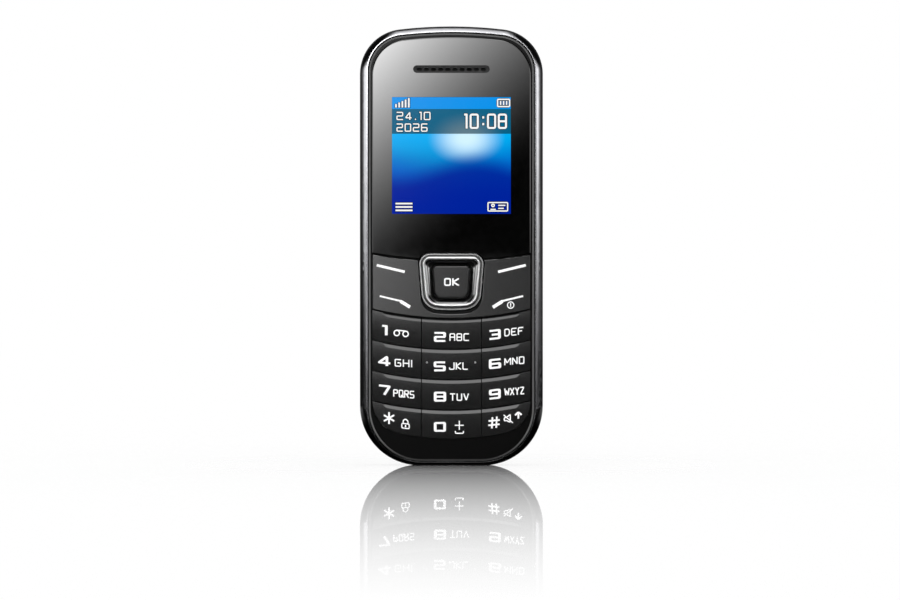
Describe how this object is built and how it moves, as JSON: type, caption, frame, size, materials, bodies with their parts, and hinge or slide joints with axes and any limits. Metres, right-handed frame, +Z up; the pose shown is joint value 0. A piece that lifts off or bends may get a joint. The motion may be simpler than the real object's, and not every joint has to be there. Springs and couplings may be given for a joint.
{
  "type": "feature phone",
  "caption": "Bar-shaped feature phone with a small colour screen, number keys, a navigation rocker and a lift-off back over the battery.",
  "frame": {"origin": "middle of the lower end, where the phone stands, at the middle of its thickness", "axes": "+Z up to the earpiece end, +X to the viewer's right, the keys face -Y"},
  "size_m": [0.045, 0.0136, 0.108],
  "materials": {
    "band": "gloss metallised",
    "front_plastic": "polished black",
    "window": "clear lens printed black behind",
    "tape": "foam tape",
    "grille": "moulded",
    "key_plastic": "satin black",
    "chrome_ring": "plated",
    "silicone": "translucent silicone",
    "dome_steel": "stamped",
    "board": "solder mask",
    "chip": "moulded epoxy",
    "led": "clear epoxy",
    "screen": "lit screen",
    "backlight": "white light box",
    "flex": "film",
    "speaker": "moulded",
    "contact": "gold plated",
    "carrier": "moulded",
    "rear_plastic": "fine spark texture",
    "battery": "printed wrap",
    "card": "card stock plastic"
  },
  "bodies": {
    "phone_body": {"bezel_frame": "band", "front_cover": "front_plastic", "display_window": "window", "window_tape": "tape", "loudspeaker_gasket": "tape", "earpiece_gasket": "tape", "earpiece_grille": "grille", "keypad_mat": "silicone", "microphone_boot": "silicone", "key_domes": "dome_steel", "shield_cans": "dome_steel", "housing_screws": "dome_steel", "vibration_motor": "dome_steel", "charge_socket_shell": "dome_steel", "main_board": "board", "board_chips": "chip", "microphone": "chip", "charge_socket_tongue": "chip", "battery_connector": "chip", "keypad_leds": "led", "lcd_glass": "screen", "lcd_backlight": "backlight", "lcd_flex": "flex", "earpiece_speaker": "speaker", "loudspeaker": "speaker", "battery_springs": "contact", "antenna_strips": "contact", "antenna_carrier": "carrier", "sim_holder": "carrier", "rear_housing": "rear_plastic"},
    "number_key_1": {"key_1": "key_plastic"},
    "number_key_2": {"key_2": "key_plastic"},
    "number_key_3": {"key_3": "key_plastic"},
    "number_key_4": {"key_4": "key_plastic"},
    "number_key_5": {"key_5": "key_plastic"},
    "number_key_6": {"key_6": "key_plastic"},
    "number_key_7": {"key_7": "key_plastic"},
    "number_key_8": {"key_8": "key_plastic"},
    "number_key_9": {"key_9": "key_plastic"},
    "number_key_star": {"key_star": "key_plastic"},
    "number_key_0": {"key_0": "key_plastic"},
    "number_key_hash": {"key_hash": "key_plastic"},
    "ok_button": {"ok_key": "key_plastic"},
    "rocker_pad": {"nav_support": "silicone"},
    "rocker": {"nav_base": "key_plastic", "nav_ring": "chrome_ring"},
    "function_pad": {"function_support": "silicone"},
    "function_keys": {"function_plate": "key_plastic"},
    "back_cover": {"battery_cover": "rear_plastic"},
    "battery": {"battery_pack": "battery", "battery_terminals": "contact"},
    "sim": {"sim_card": "card"},
    "vibration_rotor": {"vibration_shaft": "dome_steel", "vibration_weight": "dome_steel"}
  },
  "joints": [
    {"name": "key_1_press", "type": "slide", "parent": "phone_body", "child": "number_key_1", "axis": [0, 1, 0], "range_m": [0, 0.00025], "stiffness_N_per_m": 1500},
    {"name": "key_2_press", "type": "slide", "parent": "phone_body", "child": "number_key_2", "axis": [0, 1, 0], "range_m": [0, 0.00025], "stiffness_N_per_m": 1500},
    {"name": "key_3_press", "type": "slide", "parent": "phone_body", "child": "number_key_3", "axis": [0, 1, 0], "range_m": [0, 0.00025], "stiffness_N_per_m": 1500},
    {"name": "key_4_press", "type": "slide", "parent": "phone_body", "child": "number_key_4", "axis": [0, 1, 0], "range_m": [0, 0.00025], "stiffness_N_per_m": 1500},
    {"name": "key_5_press", "type": "slide", "parent": "phone_body", "child": "number_key_5", "axis": [0, 1, 0], "range_m": [0, 0.00025], "stiffness_N_per_m": 1500},
    {"name": "key_6_press", "type": "slide", "parent": "phone_body", "child": "number_key_6", "axis": [0, 1, 0], "range_m": [0, 0.00025], "stiffness_N_per_m": 1500},
    {"name": "key_7_press", "type": "slide", "parent": "phone_body", "child": "number_key_7", "axis": [0, 1, 0], "range_m": [0, 0.00025], "stiffness_N_per_m": 1500},
    {"name": "key_8_press", "type": "slide", "parent": "phone_body", "child": "number_key_8", "axis": [0, 1, 0], "range_m": [0, 0.00025], "stiffness_N_per_m": 1500},
    {"name": "key_9_press", "type": "slide", "parent": "phone_body", "child": "number_key_9", "axis": [0, 1, 0], "range_m": [0, 0.00025], "stiffness_N_per_m": 1500},
    {"name": "key_star_press", "type": "slide", "parent": "phone_body", "child": "number_key_star", "axis": [0, 1, 0], "range_m": [0, 0.00025], "stiffness_N_per_m": 1500},
    {"name": "key_0_press", "type": "slide", "parent": "phone_body", "child": "number_key_0", "axis": [0, 1, 0], "range_m": [0, 0.00025], "stiffness_N_per_m": 1500},
    {"name": "key_hash_press", "type": "slide", "parent": "phone_body", "child": "number_key_hash", "axis": [0, 1, 0], "range_m": [0, 0.00025], "stiffness_N_per_m": 1500},
    {"name": "ok_press", "type": "slide", "parent": "phone_body", "child": "ok_button", "axis": [0, 1, 0], "range_m": [0, 0.00025], "stiffness_N_per_m": 1500},
    {"name": "rocker_left_right", "type": "hinge", "parent": "phone_body", "child": "rocker_pad", "pos_m": [0, -0.00335, 0.0451], "axis": [0, 0, 1], "range_deg": [-2, 2], "stiffness_Nm_per_rad": 0.25},
    {"name": "rocker_up_down", "type": "hinge", "parent": "rocker_pad", "child": "rocker", "pos_m": [0, -0.00335, 0.0451], "axis": [1, 0, 0], "range_deg": [-2, 2], "stiffness_Nm_per_rad": 0.25},
    {"name": "function_left_right", "type": "hinge", "parent": "phone_body", "child": "function_pad", "pos_m": [0, -0.00335, 0.0441], "axis": [0, 0, 1], "range_deg": [-0.8, 0.8], "stiffness_Nm_per_rad": 0.6},
    {"name": "function_up_down", "type": "hinge", "parent": "function_pad", "child": "function_keys", "pos_m": [0, -0.00335, 0.0441], "axis": [1, 0, 0], "range_deg": [-0.8, 0.8], "stiffness_Nm_per_rad": 0.6},
    {"name": "cover_lift", "type": "slide", "parent": "phone_body", "child": "back_cover", "axis": [0, 1, 0], "range_m": [0, 0.02]},
    {"name": "battery_lift", "type": "slide", "parent": "phone_body", "child": "battery", "axis": [0, 1, 0], "range_m": [0, 0.0101]},
    {"name": "sim_slide", "type": "slide", "parent": "phone_body", "child": "sim", "axis": [-1, 0, 0], "range_m": [0, 0.006]},
    {"name": "vibration_spin", "type": "hinge", "parent": "phone_body", "child": "vibration_rotor", "pos_m": [0, 0.00275, 0.0155], "axis": [1, 0, 0], "continuous": true}
  ],
  "couplings": [
    {"joint": "battery_lift", "follows": "cover_lift", "ratio": 0.5}
  ]
}
